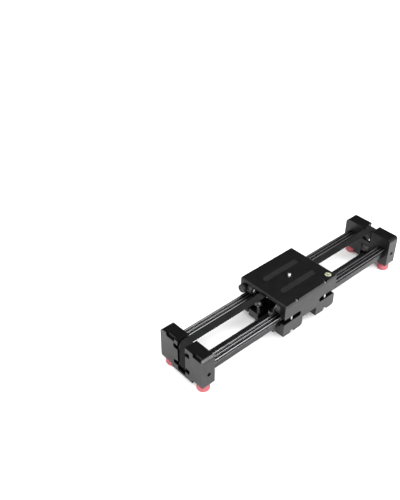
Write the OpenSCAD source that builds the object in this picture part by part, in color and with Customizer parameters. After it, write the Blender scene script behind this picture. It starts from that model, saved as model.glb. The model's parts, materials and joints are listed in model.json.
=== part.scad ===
// Camera slider with two carriages on one pair of rails and a belt between them.
// X runs along the rails, Y across them and Z up; the feet stand on Z = 0.
// The near side is -Y, the far side is +Y, left is -X and right is +X.

/* [Overall] */
// Length over both end blocks
slider_length = 500; // [420:1:800]
// Length of both carriages along the rails
carriage_length = 132; // [124:1:150]
// Width over the camera carriage
carriage_width = 107.2; // [106.4:0.2:112]
// Height of the camera plate's top face
carriage_top = 82.7; // [82:0.1:86]

/* [End blocks] */
// Thickness of an end block along the rails
block_length = 25; // [24.6:0.1:30]
// Width of an end block
block_width = 105; // [104.5:0.5:107]
// Height of an end block's top face
block_top = 76.4; // [76:0.1:77]
// Height of the underside in the middle
block_bottom = 9.5; // [8.5:0.5:11]
// Height of the raised underside over the feet
corner_bottom = 16; // [15:0.5:20]
// Half width of the deep middle part
middle_half = 26; // [20:0.5:26]
// Rounding of the upper long edges
block_round = 6.5; // [1:0.5:8]
// Width of the belt slot
slot_width = 18.5; // [16.5:0.1:19]

/* [Rails] */
// Distance between the rail centre lines
rail_spacing = 71; // [70.6:0.1:71.2]
// Width of a rail
rail_width = 16.2; // [15.8:0.1:16.2]
// Height of a rail
rail_height = 18.3; // [18:0.1:18.5]
// Height of a rail's underside above the floor
rail_bottom = 34.1; // [33.9:0.1:34.3]
// Depth of the rail sockets in the end blocks
socket_depth = 18; // [12:0.5:19]

/* [Belt and idlers] */
// Width of the belt
belt_width = 13; // [10:0.5:13]
// Thickness of the belt
belt_thickness = 1.5; // [1:0.1:1.5]
// Inner radius of the belt's bends
belt_bend = 11.3; // [11.3:0.1:11.4]
// Height of the upper idler axles
upper_axle_z = 63; // [62.5:0.1:63.1]
// Height of the lower idler axles
lower_axle_z = 27.2; // [27.1:0.1:27.4]
// Radius of the idler axles
idler_axle_r = 3; // [2:0.1:3.2]

/* [Wheels] */
// Radius of the wheels on top of the rails
wheel_r = 9.2; // [8.8:0.1:9.3]
// Width of those wheels
wheel_width = 11.1; // [10.6:0.1:11.2]
// Distance of those wheels from the carriage middle
wheel_x = 56; // [54:0.5:56.5]
// Radius of the rollers under the rails
roller_r = 6; // [5:0.1:6]
// Radius of the flat-lying guide wheels between the rails
guide_r = 10.7; // [10.5:0.1:10.7]
// Distance of the guide wheels from the carriage middle
guide_x = 54; // [44:0.5:54.5]

/* [Camera carriage] */
// Thickness of the camera plate
plate_thickness = 6.2; // [6:0.1:6.4]
// Rounding of the camera plate's end edges
plate_round = 3; // [1:0.5:4]
// Length of a rubber strip between its end centres
strip_length = 74; // [60:1:90]
// Width of a rubber strip
strip_width = 11; // [8:0.5:13]
// Distance between the strip centre lines
strip_spacing = 42; // [34:1:50]
// Radius of the camera stud
stud_r = 3.175; // [2.5:0.005:3.5]
// Height of the stud above the plate
stud_height = 6.5; // [5:0.5:8]
// Radius of the level vial's cup
level_r = 6.4; // [5:0.1:7]
// Distance of the preload screws from the carriage middle
preload_x = 43.5; // [42:0.5:46]

/* [Feet] */
// Radius of a foot
foot_r = 11.3; // [9:0.1:12]
// Height of a foot's pad
foot_height = 12.5; // [9:0.5:12.5]
// Distance of the feet from the side faces
foot_inset = 13.5; // [12.5:0.5:14]

/* [Hidden] */
$fn = 64;
half_length = slider_length / 2;
inner_face = half_length - block_length;
half_carriage = carriage_length / 2;
side_outer = carriage_width / 2;
rail_y = rail_spacing / 2;
rail_inner = rail_y - rail_width / 2;
rail_outer = rail_y + rail_width / 2;
rail_top = rail_bottom + rail_height;
rail_half_length = inner_face + socket_depth - 0.5;
socket_gap = 0.1;
running_gap = 0.3;      // between bodies that roll or slide past each other
shaft_gap = 0.05;       // radial clearance of a shaft in its bore
screw_gap = 0.1;        // radial clearance of a screw in its hole
through = 1;            // how far a cutter runs past a face

// Rail profile, across and up from its lower inner corner
land_width = 3.4;
channel_depth = 3;
rib_width = 1.8;
rib_drop = 0.6;
guide_groove_bottom = 4.2;
guide_groove_height = 9.4;
guide_groove_depth = 2;
outer_groove_bottom = 11.9;
outer_groove_height = 4.6;
outer_groove_depth = 1.8;
core_width = 7.4;
core_height = 8.6;
core_bottom = 3.2;

// Belt loop and idlers
belt_face = half_length - 1.5;
belt_outer_bend = belt_bend + belt_thickness;
idler_x = belt_face - belt_outer_bend;
belt_top = upper_axle_z + belt_outer_bend;
belt_low = lower_axle_z - belt_outer_bend;
idler_r = belt_bend - running_gap;
idler_flange = 1;
idler_half = belt_width / 2 + idler_flange + 0.4;
idler_flange_r = idler_r + 1.5;
window_half = 19.5;
window_half_height = 4.75;
slot_bottom = belt_low - 0.5;
web_x = half_length - 20.5;
web_bottom = lower_axle_z + idler_flange_r + 0.5;
web_top = upper_axle_z - idler_flange_r - 0.5;

// Pockets along the outer top edge of the left end block, [centre, half width]
pockets = [[27.2, 10], [-37.8, 9.8]];
pocket_depth = 4;
pocket_height = 6.5;

// Feet and set screws
foot_x = half_length - block_length / 2;
foot_y = block_width / 2 - foot_inset;
foot_stud_r = 3;
foot_stud_top = 31;
foot_round = 2;
lock_nut_r = 6.5;
set_screw_x = half_length - 12.6;
set_screw_z = 41.5;
set_screw_r = 3.6;
set_screw_length = 5.2;

// Side blocks of the camera carriage
plate_bottom = carriage_top - plate_thickness;
web_inner = rail_outer + 1;
wing_inner = 41.6;
wing_low = rail_top + 0.8;
wing_edge = 51.5;
side_bottom = 13.5;
foot_inner = 33.5;
foot_top = rail_bottom - 1.6;
slot_low = 40.8;
slot_end = 24;
slot_r = (wing_edge - slot_low) / 2;
arch_half = 18;
arch_top = 33;
lug_round = 6;
notch_width = 9;
notch_height = 5;
preload_y = 49.1;
preload_r = 2;
preload_low = side_bottom + notch_height + 0.4;

// Wheels, rollers and their shafts
wheel_y = rail_y;
wheel_z = rail_top + running_gap + wheel_r;
wheel_bolt_r = 3;
wheel_head_r = 5.2;
wheel_head_length = 4;
wheel_bolt_end = 50;
roller_x = preload_x;
roller_z = rail_bottom - running_gap - roller_r;
roller_y = 39.5;
roller_width = 7;
roller_pin_r = 1.5;
roller_pin_end = web_inner + 2;
pocket_half = roller_r + 1;
pocket_floor = roller_z - roller_r - 0.8;
guide_y = rail_inner + guide_groove_depth - running_gap - guide_r;
guide_bolt_r = 2.5;
guide_width = 8;
guide_low = rail_bottom + guide_groove_bottom + (guide_groove_height - guide_width) / 2;
guide_head_r = 4.4;
guide_head_height = 3.6;

// Camera plate fittings
strip_depth = 0.9;
strip_proud = 0.5;
stud_collar_r = 3.8;
stud_relief_r = 2.6;
stud_relief = 0.7;
stud_head_r = 5.5;
stud_head_height = 2.6;
level_x = 54;
level_y = -43.6;
level_depth = 5;
level_wall = 0.9;
bubble_r = 2;
plate_screw_x = 36.5;
plate_screw_y = side_outer - 3;
plate_screw_head_r = 2.7;
plate_screw_seat_r = 4;
plate_screw_head = 2.2;
plate_screw_sink = 4.2;
plate_screw_r = 1.5;
plate_screw_length = 16;
hidden_screw_x = 9;
hidden_screw_r = 1.5;
hidden_head_r = 2.7;
hidden_head = 3;
hidden_access_r = 3;
hidden_seat = 66;
hidden_screw_top = plate_bottom + 4;

// Belt clamps
clamp_x = 26;
clamp_half = 11;
clamp_half_width = 13;
clamp_bottom = belt_top - belt_thickness - 4;
belt_slack = 0.3;
clamp_screw_y = 9.8;
clamp_screw_r = 1.5;
clamp_screw_head_r = 2.7;
clamp_screw_head = 1.8;

// Lock knob on the left end of the far side block
knob_y = 45.5;
knob_z = 64;
knob_r = 8;
knob_length = 7;
knob_screw_r = 2.45;
knob_screw_length = 6;

// Tripod carriage
tripod_bottom = 8.5;
tripod_top = 24;
tripod_half_width = 31;
tripod_channel_half = 8.2;
tripod_channel_floor = belt_low - 0.7;
tripod_edge = 2.5;
insert_r = 7;
thread_r = 3.97;
small_thread_r = 2.6;
small_thread_x = 20;
lower_clamp_x = 38;
lower_clamp_half = 7;
lower_clamp_y = tripod_channel_half + 4;
lower_clamp_height = 4;

black = "#2a2a2b";
grey = "#6c6c6d";
dark = "#3a3a3b";
steel = "#c9cacc";
rubber = "#1c1c1d";
pink = "#dc7580";

// ---- Shared shapes ----

// A box from its lowest to its highest corner
module span(low, high) {
    translate(low) cube(high - low);
}

// A flat outline in Y and Z, run along X from x0 to x1
module along_x(x0, x1) {
    translate([x0, 0, 0]) rotate([90, 0, 90]) linear_extrude(x1 - x0) children();
}

// A flat outline in X and Z, run along Y from y0 to y1
module along_y(y0, y1) {
    translate([0, y1, 0]) rotate([90, 0, 0]) linear_extrude(y1 - y0) children();
}

// A round bar along Y from y0 to y1
module bar_y(x, z, r, y0, y1) {
    translate([x, y1, z]) rotate([90, 0, 0]) cylinder(r = r, h = y1 - y0);
}

// A round bar along Z from z0 to z1
module bar_z(x, y, r, z0, z1) {
    translate([x, y, z0]) cylinder(r = r, h = z1 - z0);
}

// What is left over outside a rounded corner; sx and sy point out of the corner
module corner_waste(x, y, r, sx, sy) {
    translate([x - sx * r, y - sy * r]) difference() {
        translate([sx > 0 ? 0 : -r - through, sy > 0 ? 0 : -r - through]) square(r + through);
        circle(r);
    }
}

// A flat ring outline with rounded corners, from its half width and two heights
module rounded_frame(half, low, high, r) {
    translate([-half, low + r]) square([2 * half, high - low - 2 * r]);
    translate([-half + r, low]) square([2 * half - 2 * r, high - low]);
    for (x = [-half + r, half - r], z = [low + r, high - r]) translate([x, z]) circle(r);
}

// Keeps a far-side shape, or mirrors it to the near side
module on_side(side) {
    mirror([0, side < 0 ? 1 : 0, 0]) children();
}

// ---- End blocks ----

module block_outline() {
    half = block_width / 2;
    difference() {
        union() {
            translate([-half, corner_bottom]) square([block_width, block_top - corner_bottom]);
            translate([-middle_half, block_bottom]) square([2 * middle_half, corner_bottom]);
        }
        for (s = [-1, 1]) {
            corner_waste(s * half, block_top, block_round, s, 1);
            corner_waste(s * half, corner_bottom, block_round / 2, s, -1);
        }
    }
}

// An end block at the left end; the right one is turned half round and has no pockets
module end_block(cut_pockets) {
    outer = -half_length;
    slot_half = slot_width / 2;
    socket_half = rail_width / 2 + socket_gap;
    difference() {
        along_x(outer, -inner_face) block_outline();
        // Belt slot, cut by two passes either side of the inner web
        span([outer - through, -slot_half, slot_bottom], [-web_x, slot_half, block_top + through]);
        span([-web_x - through, -slot_half, slot_bottom], [1 - inner_face, slot_half, web_bottom]);
        span([-web_x - through, -slot_half, web_top], [1 - inner_face, slot_half, block_top + through]);
        // Axle windows
        for (z = [lower_axle_z, upper_axle_z])
            span([outer - through, -window_half, z - window_half_height],
                 [idler_axle_r - idler_x, window_half, z + window_half_height]);
        // Pockets along the outer top edge
        if (cut_pockets) for (p = pockets)
            span([outer - through, p[0] - p[1], block_top - pocket_height],
                 [outer + pocket_depth, p[0] + p[1], block_top + through]);
        for (s = [-1, 1]) {
            // Rail socket
            span([-inner_face - socket_depth, s * rail_y - socket_half, rail_bottom - socket_gap],
                 [1 - inner_face, s * rail_y + socket_half, rail_top + socket_gap]);
            // Foot stud hole
            bar_z(-foot_x, s * foot_y, foot_stud_r + shaft_gap, block_bottom, foot_stud_top + 0.5);
            // Set screw hole
            on_side(s) bar_y(-set_screw_x, set_screw_z, set_screw_r + screw_gap,
                             rail_y, block_width / 2 + through);
        }
    }
}

module left_end_block() {
    color(grey) end_block(true);
}

module right_end_block() {
    color(grey) rotate([0, 0, 180]) end_block(false);
}

module idler_axles() {
    color(dark)
        for (x = [-idler_x, idler_x], z = [lower_axle_z, upper_axle_z])
            bar_y(x, z, idler_axle_r, -window_half + 0.5, window_half - 0.5);
}

module rail_set_screws() {
    socket_r = 1.5;
    outer = rail_outer + 0.1;
    color(dark)
        for (x = [-set_screw_x, set_screw_x], s = [-1, 1]) on_side(s) difference() {
            bar_y(x, set_screw_z, set_screw_r, outer, outer + set_screw_length);
            translate([x, outer + set_screw_length + through, set_screw_z])
                rotate([90, 0, 0]) cylinder(r = socket_r, h = 3, $fn = 6);
        }
}

// ---- Rails ----

// Profile of the far rail, in Y and Z
module rail_outline() {
    channel_width = rail_width - 2 * land_width;
    translate([rail_inner, rail_bottom]) difference() {
        square([rail_width, rail_height]);
        difference() {
            translate([land_width, rail_height - channel_depth]) square([channel_width, 2 * channel_depth]);
            translate([(rail_width - rib_width) / 2, 0]) square([rib_width, rail_height - rib_drop]);
        }
        translate([-through, guide_groove_bottom])
            square([guide_groove_depth + through, guide_groove_height]);
        translate([rail_width - outer_groove_depth, outer_groove_bottom])
            square([outer_groove_depth + through, outer_groove_height]);
        translate([(rail_width - core_width) / 2, core_bottom]) square([core_width, core_height]);
    }
}

module far_rail() {
    color(grey) along_x(-rail_half_length, rail_half_length) rail_outline();
}

module near_rail() {
    color(grey) mirror([0, 1, 0]) along_x(-rail_half_length, rail_half_length) rail_outline();
}

// ---- Belt and idlers ----

module drive_belt() {
    color(dark) along_y(-belt_width / 2, belt_width / 2) difference() {
        rounded_frame(belt_face, belt_low, belt_top, belt_outer_bend);
        rounded_frame(belt_face - belt_thickness, belt_low + belt_thickness,
                      belt_top - belt_thickness, belt_bend);
    }
}

module idler(x, z) {
    bore_r = idler_axle_r + shaft_gap;
    color(steel) difference() {
        union() {
            bar_y(x, z, idler_r, -idler_half, idler_half);
            for (s = [-1, 1]) on_side(s)
                bar_y(x, z, idler_flange_r, idler_half - idler_flange, idler_half);
        }
        bar_y(x, z, bore_r, -idler_half - through, idler_half + through);
    }
}

module left_upper_idler() { idler(-idler_x, upper_axle_z); }
module left_lower_idler() { idler(-idler_x, lower_axle_z); }
module right_upper_idler() { idler(idler_x, upper_axle_z); }
module right_lower_idler() { idler(idler_x, lower_axle_z); }

// ---- Feet ----

// Turned outline of a foot pad, from its axis outwards
module foot_outline() {
    top_r = foot_r - 1.5;
    difference() {
        square([foot_r, foot_height]);
        corner_waste(foot_r, 0, foot_round, 1, -1);
        polygon([
            [top_r, foot_height + 0.1],
            [foot_r + 0.1, foot_height + 0.1],
            [foot_r + 0.1, foot_height - 3]
        ]);
    }
}

module foot(x, y) {
    stud_hole = 6;
    color(pink) translate([x, y, 0]) difference() {
        rotate_extrude() foot_outline();
        bar_z(0, 0, foot_stud_r, stud_hole, foot_height + through);
    }
}

module foot_stud(x, y) {
    stud_low = 6;
    nut_low = foot_height;
    nut_high = corner_bottom - running_gap;
    color(steel) translate([x, y, 0]) {
        bar_z(0, 0, foot_stud_r, stud_low, foot_stud_top);
        bar_z(0, 0, lock_nut_r, nut_low, nut_high);
    }
}

module near_left_foot() { foot(-foot_x, -foot_y); }
module near_right_foot() { foot(foot_x, -foot_y); }
module far_left_foot() { foot(-foot_x, foot_y); }
module far_right_foot() { foot(foot_x, foot_y); }
module near_left_foot_stud() { foot_stud(-foot_x, -foot_y); }
module near_right_foot_stud() { foot_stud(foot_x, -foot_y); }
module far_left_foot_stud() { foot_stud(-foot_x, foot_y); }
module far_right_foot_stud() { foot_stud(foot_x, foot_y); }

// ---- Camera carriage ----

module stadium(length, width) {
    square([length, width], center = true);
    for (s = [-1, 1]) translate([s * length / 2, 0]) circle(width / 2);
}

module camera_plate() {
    color(black) difference() {
        along_y(-side_outer, side_outer) difference() {
            translate([-half_carriage, plate_bottom]) square([carriage_length, plate_thickness]);
            for (s = [-1, 1]) corner_waste(s * half_carriage, carriage_top, plate_round, s, 1);
        }
        for (s = [-1, 1])
            translate([0, s * strip_spacing / 2, carriage_top - strip_depth])
                linear_extrude(strip_depth + through) stadium(strip_length, strip_width);
        bar_z(0, 0, stud_collar_r, plate_bottom - through, carriage_top + through);
        bar_z(0, 0, stud_head_r, plate_bottom - through, plate_bottom + stud_head_height);
        bar_z(level_x, level_y, level_r, carriage_top - level_depth, carriage_top + through);
        for (x = [-plate_screw_x, plate_screw_x]) {
            bar_z(x, -plate_screw_y, plate_screw_r + screw_gap, plate_bottom - through, carriage_top);
            bar_z(x, -plate_screw_y, plate_screw_seat_r,
                  carriage_top - plate_screw_sink, carriage_top + through);
        }
        for (x = [-hidden_screw_x, hidden_screw_x])
            bar_z(x, preload_y, hidden_screw_r, plate_bottom - through, hidden_screw_top);
        for (y = [-clamp_screw_y, clamp_screw_y])
            bar_z(clamp_x, y, clamp_screw_r + screw_gap, plate_bottom - through, plate_bottom + 4.2);
    }
}

module grip_strip(side) {
    color(rubber)
        translate([0, side * strip_spacing / 2, carriage_top - strip_depth])
            linear_extrude(strip_depth + strip_proud) stadium(strip_length, strip_width);
}

module near_grip_strip() { grip_strip(-1); }
module far_grip_strip() { grip_strip(1); }

module camera_stud() {
    tip = 1;
    low = plate_bottom + 0.1;
    color(steel) difference() {
        union() {
            bar_z(0, 0, stud_collar_r, low, carriage_top);
            bar_z(0, 0, stud_relief_r, low, carriage_top + stud_relief);
            bar_z(0, 0, stud_r, carriage_top + stud_relief, carriage_top + stud_height - tip);
            translate([0, 0, carriage_top + stud_height - tip])
                cylinder(r1 = stud_r, r2 = stud_r - tip, h = tip);
            bar_z(0, 0, stud_head_r, low, plate_bottom + stud_head_height);
        }
        translate([0, 0, plate_bottom - 1]) cylinder(r = 2, h = 3.2, $fn = 6);
    }
}

module level_cup() {
    low = carriage_top - level_depth;
    color(steel) translate([level_x, level_y, 0]) difference() {
        bar_z(0, 0, level_r, low, carriage_top);
        bar_z(0, 0, level_r - level_wall, low + level_wall, carriage_top + through);
    }
}

module level_liquid() {
    low = carriage_top - level_depth + level_wall;
    color("#e9eec4") bar_z(level_x, level_y, level_r - level_wall, low, carriage_top - 1.2);
}

module level_window() {
    color("#f4f6e8") bar_z(level_x, level_y, level_r - level_wall, carriage_top - 1.2, carriage_top - 0.1);
}

// Two screws from above on the near side, two hidden ones from below on the far side
module plate_screws() {
    top = carriage_top - plate_screw_sink + plate_screw_head;
    socket_r = 1.4;
    color(steel) {
        for (x = [-plate_screw_x, plate_screw_x]) difference() {
            union() {
                bar_z(x, -plate_screw_y, plate_screw_head_r, top - plate_screw_head, top);
                bar_z(x, -plate_screw_y, plate_screw_r, top - plate_screw_head - plate_screw_length, top - 1);
            }
            translate([x, -plate_screw_y, top - 1.3]) cylinder(r = socket_r, h = 3, $fn = 6);
        }
        for (x = [-hidden_screw_x, hidden_screw_x]) difference() {
            union() {
                bar_z(x, preload_y, hidden_head_r, hidden_seat - hidden_head, hidden_seat);
                bar_z(x, preload_y, hidden_screw_r, hidden_seat - 1, hidden_screw_top);
            }
            translate([x, preload_y, hidden_seat - hidden_head - through])
                cylinder(r = socket_r, h = 1.6 + through, $fn = 6);
        }
    }
}

// Outer outline of a side block in X and Z: wing, two slots, arch and two lugs
module side_outline() {
    difference() {
        translate([-half_carriage, side_bottom])
            square([carriage_length, plate_bottom - side_bottom]);
        // Arch between the lugs
        translate([-arch_half, side_bottom - through])
            square([2 * arch_half, arch_top - side_bottom + through]);
        for (s = [-1, 1]) {
            // Slot that lets each lug flex, round at its closed end
            translate([s * (slot_end + slot_r), slot_low + slot_r]) circle(slot_r);
            translate([s > 0 ? slot_end + slot_r : -half_carriage - through, slot_low])
                square([half_carriage + through - slot_end - slot_r, 2 * slot_r]);
            // Access notch under each preload screw
            translate([s * preload_x - notch_width / 2, side_bottom - through])
                square([notch_width, notch_height + through]);
            corner_waste(s * half_carriage, wing_edge, plate_round, s, -1);
        }
        corner_waste(-arch_half, side_bottom, lug_round, 1, -1);
        corner_waste(half_carriage, side_bottom, lug_round, 1, -1);
        corner_waste(half_carriage, slot_low, plate_round, 1, 1);
    }
}

// Outline of the feet under the rail, the side block's outline below the rail
module side_foot_outline() {
    intersection() {
        side_outline();
        translate([-half_carriage, side_bottom]) square([carriage_length, foot_top - side_bottom]);
    }
}

module side_block(side) {
    color(grey) on_side(side) difference() {
        union() {
            along_y(web_inner, side_outer) side_outline();
            along_y(foot_inner, web_inner + 0.5) side_foot_outline();
            span([-half_carriage, wing_inner, wing_low], [half_carriage, web_inner + 0.5, plate_bottom]);
        }
        for (s = [-1, 1]) {
            // Roller pocket, open towards the rail
            span([s * roller_x - pocket_half, roller_y - roller_width / 2 - 0.5, pocket_floor],
                 [s * roller_x + pocket_half, roller_y + roller_width / 2 + 0.5, foot_top + through]);
            bar_y(s * roller_x, roller_z, roller_pin_r, foot_inner - through, roller_pin_end);
            bar_y(s * wheel_x, wheel_z, wheel_bolt_r, wing_inner - through, wheel_bolt_end);
            bar_z(s * preload_x, preload_y, preload_r, side_bottom, wing_edge + 14);
            if (side < 0)
                bar_z(s * plate_screw_x, plate_screw_y, plate_screw_r,
                      carriage_top - plate_screw_sink - plate_screw_length - 1, plate_bottom + through);
            if (side > 0) {
                bar_z(s * hidden_screw_x, preload_y, hidden_screw_r + screw_gap,
                      hidden_seat, plate_bottom + through);
                bar_z(s * hidden_screw_x, preload_y, hidden_access_r, arch_top - through, hidden_seat);
            }
        }
        if (side > 0)
            translate([-half_carriage - through, knob_y, knob_z]) rotate([0, 90, 0])
                cylinder(r = knob_screw_r + shaft_gap, h = knob_screw_length + through + 0.3);
    }
}

module near_side_block() { side_block(-1); }
module far_side_block() { side_block(1); }

module preload_screws() {
    color(steel)
        for (x = [-preload_x, preload_x], y = [-preload_y, preload_y])
            bar_z(x, y, preload_r, preload_low, wing_edge + 14);
}

module rail_wheel(x, side) {
    color(rubber) on_side(side) difference() {
        bar_y(x, wheel_z, wheel_r, wheel_y - wheel_width / 2, wheel_y + wheel_width / 2);
        bar_y(x, wheel_z, wheel_bolt_r + shaft_gap, wheel_y - wheel_width, wheel_y + wheel_width);
    }
}

module near_left_wheel() { rail_wheel(-wheel_x, -1); }
module near_right_wheel() { rail_wheel(wheel_x, -1); }
module far_left_wheel() { rail_wheel(-wheel_x, 1); }
module far_right_wheel() { rail_wheel(wheel_x, 1); }

// Hex-headed bolts that the rail wheels turn on, screwed into the side blocks
module wheel_bolts() {
    head_outer = wheel_y - wheel_width / 2 - running_gap;
    color(steel)
        for (x = [-wheel_x, wheel_x], s = [-1, 1]) on_side(s) {
            bar_y(x, wheel_z, wheel_bolt_r, head_outer - 1, wheel_bolt_end);
            translate([x, head_outer, wheel_z]) rotate([90, 0, 0])
                cylinder(r = wheel_head_r, h = wheel_head_length, $fn = 6);
        }
}

module under_roller(x, side) {
    low = roller_y - roller_width / 2;
    high = roller_y + roller_width / 2;
    color(rubber) on_side(side) difference() {
        bar_y(x, roller_z, roller_r, low, high);
        bar_y(x, roller_z, roller_pin_r + shaft_gap, low - through, high + through);
    }
}

module near_left_roller() { under_roller(-roller_x, -1); }
module near_right_roller() { under_roller(roller_x, -1); }
module far_left_roller() { under_roller(-roller_x, 1); }
module far_right_roller() { under_roller(roller_x, 1); }

module roller_pins() {
    color(steel)
        for (x = [-roller_x, roller_x], s = [-1, 1])
            on_side(s) bar_y(x, roller_z, roller_pin_r, foot_inner, roller_pin_end);
}

// Channel under the camera plate that holds the belt's upper run against it
module camera_belt_clamp() {
    half = belt_width / 2 + belt_slack;
    color(dark) difference() {
        span([clamp_x - clamp_half, -clamp_half_width, clamp_bottom],
             [clamp_x + clamp_half, clamp_half_width, plate_bottom]);
        span([clamp_x - clamp_half - through, -half, belt_top - belt_thickness - belt_slack],
             [clamp_x + clamp_half + through, half, plate_bottom + through]);
        for (y = [-clamp_screw_y, clamp_screw_y])
            bar_z(clamp_x, y, clamp_screw_r + screw_gap, clamp_bottom - through, plate_bottom + through);
    }
}

module camera_clamp_screws() {
    color(steel)
        for (y = [-clamp_screw_y, clamp_screw_y]) {
            bar_z(clamp_x, y, clamp_screw_r, clamp_bottom - 1, plate_bottom + 4);
            bar_z(clamp_x, y, clamp_screw_head_r, clamp_bottom - clamp_screw_head, clamp_bottom);
        }
}

module lock_knob() {
    outer = -half_carriage - running_gap;
    color(dark) translate([outer, knob_y, knob_z]) rotate([0, -90, 0]) difference() {
        cylinder(r = knob_r, h = knob_length);
        translate([0, 0, -through]) cylinder(r = knob_screw_r, h = 4 + through);
    }
}

module lock_screw() {
    outer = -half_carriage - running_gap - 4;
    color(steel) translate([outer, knob_y, knob_z]) rotate([0, 90, 0])
        cylinder(r = knob_screw_r, h = knob_screw_length + 4);
}

// ---- Tripod carriage ----

module tripod_outline() {
    difference() {
        translate([-tripod_half_width, tripod_bottom])
            square([2 * tripod_half_width, tripod_top - tripod_bottom]);
        translate([-tripod_channel_half, tripod_channel_floor])
            square([2 * tripod_channel_half, tripod_top]);
        for (s = [-1, 1]) {
            corner_waste(s * tripod_half_width, tripod_bottom, tripod_edge, s, -1);
            corner_waste(s * tripod_half_width, tripod_top, tripod_edge, s, 1);
        }
    }
}

module tripod_plate() {
    color(dark) difference() {
        along_x(-half_carriage, half_carriage) tripod_outline();
        bar_z(0, 0, insert_r, tripod_bottom - through, tripod_top);
        for (x = [-small_thread_x, small_thread_x])
            bar_z(x, 0, small_thread_r, tripod_bottom - through, tripod_top);
        for (x = [-guide_x, guide_x], y = [-guide_y, guide_y])
            bar_z(x, y, guide_bolt_r, tripod_bottom + 4, tripod_top + through);
        for (y = [-lower_clamp_y, lower_clamp_y])
            bar_z(lower_clamp_x, y, clamp_screw_r, tripod_top - 8, tripod_top + through);
    }
}

// Steel ring with the 3/8 inch tripod thread
module tripod_insert() {
    color(steel) difference() {
        bar_z(0, 0, insert_r, tripod_bottom, tripod_channel_floor);
        bar_z(0, 0, thread_r, tripod_bottom - through, tripod_top);
    }
}

module guide_wheel(x, y) {
    color(rubber) difference() {
        bar_z(x, y, guide_r, guide_low, guide_low + guide_width);
        bar_z(x, y, guide_bolt_r + shaft_gap, guide_low - through, guide_low + guide_width + through);
    }
}

module near_left_guide_wheel() { guide_wheel(-guide_x, -guide_y); }
module near_right_guide_wheel() { guide_wheel(guide_x, -guide_y); }
module far_left_guide_wheel() { guide_wheel(-guide_x, guide_y); }
module far_right_guide_wheel() { guide_wheel(guide_x, guide_y); }

module guide_bolts() {
    head_low = guide_low + guide_width + running_gap;
    color(steel)
        for (x = [-guide_x, guide_x], y = [-guide_y, guide_y]) difference() {
            union() {
                bar_z(x, y, guide_bolt_r, tripod_bottom + 4, head_low + 1);
                bar_z(x, y, guide_head_r, head_low, head_low + guide_head_height);
            }
            translate([x, y, head_low + 1.4]) cylinder(r = 2, h = guide_head_height, $fn = 6);
        }
}

module guide_spacers() {
    color(steel)
        for (x = [-guide_x, guide_x], y = [-guide_y, guide_y]) difference() {
            bar_z(x, y, guide_head_r, tripod_top, guide_low - running_gap);
            bar_z(x, y, guide_bolt_r, tripod_top - through, guide_low);
        }
}

// Bridge over the belt's lower run, with a foot that presses it down
module tripod_belt_clamp() {
    half = tripod_channel_half + 8;
    press = tripod_channel_half - 0.3;
    low = [lower_clamp_x - lower_clamp_half, -half, tripod_top];
    high = [lower_clamp_x + lower_clamp_half, half, tripod_top + lower_clamp_height];
    color(dark) difference() {
        union() {
            span(low, high);
            span([low[0], -press, belt_low + belt_thickness + belt_slack], [high[0], press, tripod_top + 1]);
        }
        for (y = [-lower_clamp_y, lower_clamp_y])
            bar_z(lower_clamp_x, y, clamp_screw_r, tripod_top - through, high[2] + through);
    }
}

module tripod_clamp_screws() {
    top = tripod_top + lower_clamp_height;
    color(steel)
        for (y = [-lower_clamp_y, lower_clamp_y]) {
            bar_z(lower_clamp_x, y, clamp_screw_r, tripod_top - 7.5, top + 0.5);
            bar_z(lower_clamp_x, y, clamp_screw_head_r, top, top + clamp_screw_head);
        }
}

left_end_block();
right_end_block();
near_rail();
far_rail();
drive_belt();
left_upper_idler();
left_lower_idler();
right_upper_idler();
right_lower_idler();
idler_axles();
rail_set_screws();
near_left_foot();
near_right_foot();
far_left_foot();
far_right_foot();
near_left_foot_stud();
near_right_foot_stud();
far_left_foot_stud();
far_right_foot_stud();
camera_plate();
near_side_block();
far_side_block();
near_grip_strip();
far_grip_strip();
camera_stud();
level_cup();
level_liquid();
level_window();
plate_screws();
preload_screws();
near_left_wheel();
near_right_wheel();
far_left_wheel();
far_right_wheel();
wheel_bolts();
near_left_roller();
near_right_roller();
far_left_roller();
far_right_roller();
roller_pins();
camera_belt_clamp();
camera_clamp_screws();
lock_knob();
lock_screw();
tripod_plate();
near_left_guide_wheel();
near_right_guide_wheel();
far_left_guide_wheel();
far_right_guide_wheel();
guide_bolts();
guide_spacers();
tripod_belt_clamp();
tripod_clamp_screws();
tripod_insert();
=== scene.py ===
import json
import math

import bmesh
import bpy
from mathutils import Matrix, Vector


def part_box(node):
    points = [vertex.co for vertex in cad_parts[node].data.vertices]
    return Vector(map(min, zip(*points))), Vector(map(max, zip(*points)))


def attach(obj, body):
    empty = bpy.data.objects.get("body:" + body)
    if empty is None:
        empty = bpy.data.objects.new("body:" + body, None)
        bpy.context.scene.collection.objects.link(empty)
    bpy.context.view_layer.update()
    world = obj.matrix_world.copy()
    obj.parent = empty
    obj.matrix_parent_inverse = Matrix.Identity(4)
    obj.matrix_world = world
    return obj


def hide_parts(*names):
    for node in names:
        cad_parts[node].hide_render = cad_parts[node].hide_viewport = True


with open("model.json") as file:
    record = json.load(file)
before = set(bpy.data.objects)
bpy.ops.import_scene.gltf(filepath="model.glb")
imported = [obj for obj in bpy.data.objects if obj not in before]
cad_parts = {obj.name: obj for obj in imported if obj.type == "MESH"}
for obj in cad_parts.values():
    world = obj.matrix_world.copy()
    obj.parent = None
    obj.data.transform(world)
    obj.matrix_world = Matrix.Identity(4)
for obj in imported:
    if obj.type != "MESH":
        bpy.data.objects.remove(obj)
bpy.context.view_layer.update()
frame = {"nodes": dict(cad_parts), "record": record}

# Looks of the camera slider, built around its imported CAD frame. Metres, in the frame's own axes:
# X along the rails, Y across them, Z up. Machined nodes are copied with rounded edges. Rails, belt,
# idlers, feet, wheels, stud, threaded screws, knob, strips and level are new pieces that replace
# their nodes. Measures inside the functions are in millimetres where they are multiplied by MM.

MM = 0.001
RECORD = frame["record"]
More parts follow.
